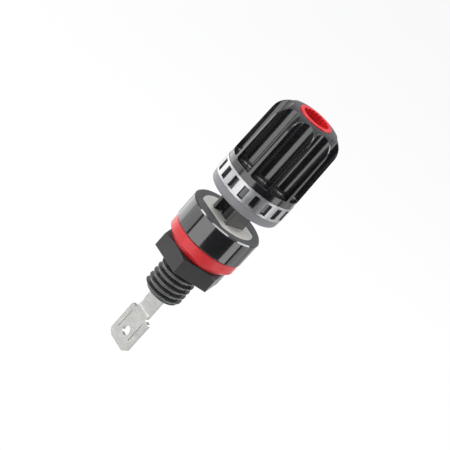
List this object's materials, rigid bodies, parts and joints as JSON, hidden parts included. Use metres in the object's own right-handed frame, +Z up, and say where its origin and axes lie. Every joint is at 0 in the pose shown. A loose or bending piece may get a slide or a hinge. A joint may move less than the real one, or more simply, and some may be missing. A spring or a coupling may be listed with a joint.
{
  "type": "panel binding post",
  "caption": "Panel binding post: fluted screw knob with a plug socket, a wire clamp on a square stem, a threaded shank with a nut, and a flat push-on blade.",
  "frame": {"origin": "centre of the base flange's underside, where the post's axis meets the panel's face", "axes": "+Z up the post's axis towards the knob; the blade's two faces look along -Y and +Y, and its width runs along X"},
  "size_m": [0.0154, 0.0154, 0.0592],
  "materials": {
    "base_body": "gloss black moulding, satin on its top",
    "contact_plate": "nickel plated, finely brushed",
    "contact_pin": "nickel plated brass",
    "socket_sleeve": "nickel plated brass",
    "snap_ring": "spring steel",
    "blade_tab": "tinned brass",
    "pressure_ring": "satin grey",
    "clamp_washer": "nickel plated",
    "knob_grip": "gloss black",
    "thread_bush": "turned brass",
    "window_ring": "bright nickel plating",
    "colour_insert": "gloss red",
    "marking_ring": "gloss red",
    "panel_nut": "satin black"
  },
  "bodies": {
    "post": {"base_body": "base_body", "contact_plate": "contact_plate", "contact_pin": "contact_pin", "socket_sleeve": "socket_sleeve", "snap_ring": "snap_ring", "blade_tab": "blade_tab"},
    "clamp": {"pressure_ring": "pressure_ring", "clamp_washer": "clamp_washer"},
    "knob": {"knob_grip": "knob_grip", "thread_bush": "thread_bush", "window_ring": "window_ring", "colour_insert": "colour_insert"},
    "ring": {"marking_ring": "marking_ring"},
    "nut": {"panel_nut": "panel_nut"}
  },
  "joints": [
    {"name": "clamp_slide", "type": "slide", "parent": "post", "child": "clamp", "axis": [0, 0, 1], "range_m": [-0.0044, 0]},
    {"name": "knob_turn", "type": "hinge", "parent": "clamp", "child": "knob", "pos_m": [0, 0, 0.02], "axis": [0, 0, 1], "range_deg": [-2113, 1]},
    {"name": "ring_slide", "type": "slide", "parent": "post", "child": "ring", "axis": [0, 0, 1], "range_m": [-0.007, 0]},
    {"name": "nut_turn", "type": "hinge", "parent": "ring", "child": "nut", "pos_m": [0, 0, -0.005], "axis": [0, 0, 1], "range_deg": [-2017, 1]}
  ],
  "couplings": [
    {"joint": "knob_turn", "follows": "clamp_slide", "rad_per_m": 8377.6},
    {"joint": "nut_turn", "follows": "ring_slide", "rad_per_m": 5026.5}
  ]
}
